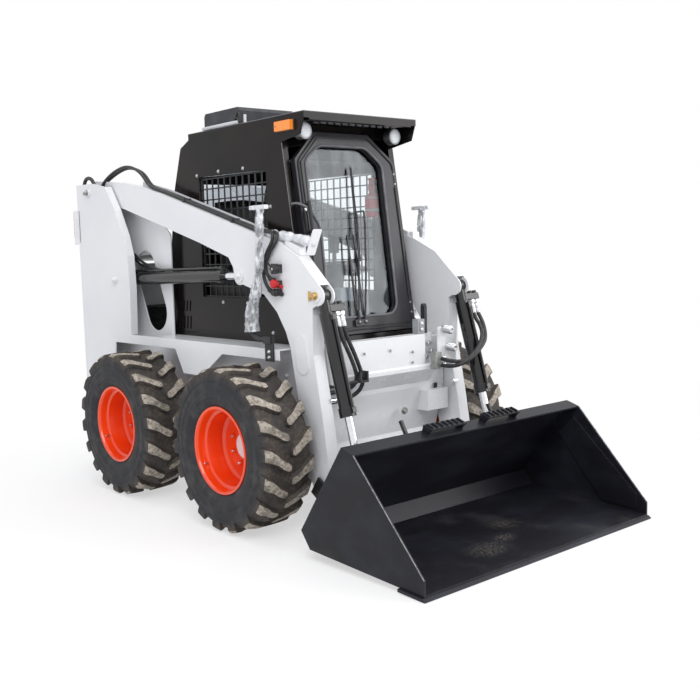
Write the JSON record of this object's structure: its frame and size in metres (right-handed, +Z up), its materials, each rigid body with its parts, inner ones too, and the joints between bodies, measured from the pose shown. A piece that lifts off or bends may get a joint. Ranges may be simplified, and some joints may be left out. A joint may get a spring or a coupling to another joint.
{
  "type": "skid steer loader",
  "caption": "Compact wheeled loader with radial lift arms, an enclosed cab between them, four lugged tyres and a wide bucket on a quick-attach carrier.",
  "frame": {"origin": "on the ground under the middle of the machine's length and width", "axes": "+Z up, the machine faces -Y, +X is the operator's left"},
  "size_m": [1.736, 3.29, 2.1619],
  "materials": {
    "white_paint": "gloss white enamel",
    "black_paint": "satin black",
    "cab_black": "gloss black",
    "orange_paint": "gloss orange-red",
    "tyre": "matt, dusty",
    "cylinder_black": "gloss black",
    "chrome_rod": "polished",
    "glass": "clear",
    "seat_vinyl": "black vinyl",
    "black_plastic": "moulded",
    "amber_lens": "amber lens",
    "red_lens": "red lens",
    "lamp_lens": "clear lens",
    "cast_engine": "cast",
    "steel_edge": "satin black, scuffed"
  },
  "bodies": {
    "machine": {"frame_sides": "white_paint", "frame_floor": "white_paint", "frame_front": "white_paint", "deck": "white_paint", "fenders": "white_paint", "axle_tubes": "black_paint", "rear_bumper": "white_paint", "tower_right": "white_paint", "tower_left": "white_paint", "front_apron": "white_paint", "engine": "cast_engine", "cab_side_right": "cab_black", "cab_side_left": "cab_black", "cab_roof": "cab_black", "cab_rear": "cab_black", "cab_front": "cab_black", "rear_glass": "glass", "side_guards": "black_paint", "ac_unit": "black_plastic", "seat": "seat_vinyl", "consoles": "black_plastic", "work_lamps": "lamp_lens", "marker_lamps": "amber_lens", "tail_lamps": "red_lens"},
    "rear_door": {"rear_door": "white_paint"},
    "hood": {"hood": "white_paint"},
    "door": {"door": "cab_black", "door_glass": "glass"},
    "lift_arms": {"arm_right": "white_paint", "arm_left": "white_paint", "arm_cross": "white_paint"},
    "lift_barrel_right": {"lift_barrel_right": "cylinder_black"},
    "lift_rod_right": {"lift_rod_right": "chrome_rod"},
    "tilt_barrel_right": {"tilt_barrel_right": "cylinder_black"},
    "tilt_rod_right": {"tilt_rod_right": "chrome_rod"},
    "lift_barrel_left": {"lift_barrel_left": "cylinder_black"},
    "lift_rod_left": {"lift_rod_left": "chrome_rod"},
    "tilt_barrel_left": {"tilt_barrel_left": "cylinder_black"},
    "tilt_rod_left": {"tilt_rod_left": "chrome_rod"},
    "bucket_carrier": {"quick_attach": "black_paint", "bucket": "black_paint", "cutting_edge": "steel_edge"},
    "wheel_front_right": {"tyre_front_right": "tyre", "rim_front_right": "orange_paint"},
    "wheel_front_left": {"tyre_front_left": "tyre", "rim_front_left": "orange_paint"},
    "wheel_rear_right": {"tyre_rear_right": "tyre", "rim_rear_right": "orange_paint"},
    "wheel_rear_left": {"tyre_rear_left": "tyre", "rim_rear_left": "orange_paint"}
  },
  "joints": [
    {"name": "wheel_front_right", "type": "hinge", "parent": "machine", "child": "wheel_front_right", "pos_m": [-0.717, -0.305, 0.416], "axis": [1, 0, 0], "continuous": true},
    {"name": "wheel_front_left", "type": "hinge", "parent": "machine", "child": "wheel_front_left", "pos_m": [0.717, -0.305, 0.416], "axis": [1, 0, 0], "continuous": true},
    {"name": "wheel_rear_right", "type": "hinge", "parent": "machine", "child": "wheel_rear_right", "pos_m": [-0.717, 0.75, 0.416], "axis": [1, 0, 0], "continuous": true},
    {"name": "wheel_rear_left", "type": "hinge", "parent": "machine", "child": "wheel_rear_left", "pos_m": [0.717, 0.75, 0.416], "axis": [1, 0, 0], "continuous": true},
    {"name": "lift_arms", "type": "hinge", "parent": "machine", "child": "lift_arms", "pos_m": [0, 1.455, 1.796], "axis": [-1, 0, 0], "range_deg": [0, 62]},
    {"name": "bucket_tilt", "type": "hinge", "parent": "lift_arms", "child": "bucket_carrier", "pos_m": [0, -0.7, 0.225], "axis": [1, 0, 0], "range_deg": [-20, 95]},
    {"name": "lift_barrel_right", "type": "hinge", "parent": "machine", "child": "lift_barrel_right", "pos_m": [-0.486, 1.158, 1.243], "axis": [-1, 0, 0], "range_deg": [0, 60.71]},
    {"name": "lift_rod_right", "type": "slide", "parent": "lift_barrel_right", "child": "lift_rod_right", "axis": [0, -0.9998, 0.0178], "range_m": [0, 0.64576]},
    {"name": "tilt_barrel_right", "type": "hinge", "parent": "lift_arms", "child": "tilt_barrel_right", "pos_m": [-0.486, -0.7, 1.17], "axis": [1, 0, 0], "range_deg": [-1.74, 8.22]},
    {"name": "tilt_rod_right", "type": "slide", "parent": "tilt_barrel_right", "child": "tilt_rod_right", "axis": [0, -0.2713, -0.9625], "range_m": [-0.0815, 0.38676]},
    {"name": "lift_barrel_left", "type": "hinge", "parent": "machine", "child": "lift_barrel_left", "pos_m": [0.486, 1.158, 1.243], "axis": [-1, 0, 0], "range_deg": [0, 60.71]},
    {"name": "lift_rod_left", "type": "slide", "parent": "lift_barrel_left", "child": "lift_rod_left", "axis": [0, -0.9998, 0.0178], "range_m": [0, 0.64576]},
    {"name": "tilt_barrel_left", "type": "hinge", "parent": "lift_arms", "child": "tilt_barrel_left", "pos_m": [0.486, -0.7, 1.17], "axis": [1, 0, 0], "range_deg": [-1.74, 8.22]},
    {"name": "tilt_rod_left", "type": "slide", "parent": "tilt_barrel_left", "child": "tilt_rod_left", "axis": [0, -0.2713, -0.9625], "range_m": [-0.0815, 0.38676]},
    {"name": "door_hinge", "type": "hinge", "parent": "machine", "child": "door", "pos_m": [0.368, -0.47846, 0.94159], "axis": [0, 0.1547, 0.988], "range_deg": [0, 85]},
    {"name": "rear_door_hinge", "type": "hinge", "parent": "machine", "child": "rear_door", "pos_m": [0.442, 1.6323, 0.9], "axis": [0, 0, -1], "range_deg": [0, 95]},
    {"name": "hood_hinge", "type": "hinge", "parent": "machine", "child": "hood", "pos_m": [0, 0.895, 1.414], "axis": [1, 0, 0], "range_deg": [0, 40]}
  ],
  "couplings": [
    {"joint": "lift_barrel_right", "follows": "lift_arms", "ratio": 0.97909},
    {"joint": "lift_rod_right", "follows": "lift_arms", "m_per_rad": 0.59667},
    {"joint": "tilt_barrel_right", "follows": "bucket_tilt", "ratio": 0.086451},
    {"joint": "tilt_rod_right", "follows": "bucket_tilt", "m_per_rad": 0.2332},
    {"joint": "lift_barrel_left", "follows": "lift_arms", "ratio": 0.97909},
    {"joint": "lift_rod_left", "follows": "lift_arms", "m_per_rad": 0.59667},
    {"joint": "tilt_barrel_left", "follows": "bucket_tilt", "ratio": 0.086451},
    {"joint": "tilt_rod_left", "follows": "bucket_tilt", "m_per_rad": 0.2332}
  ]
}
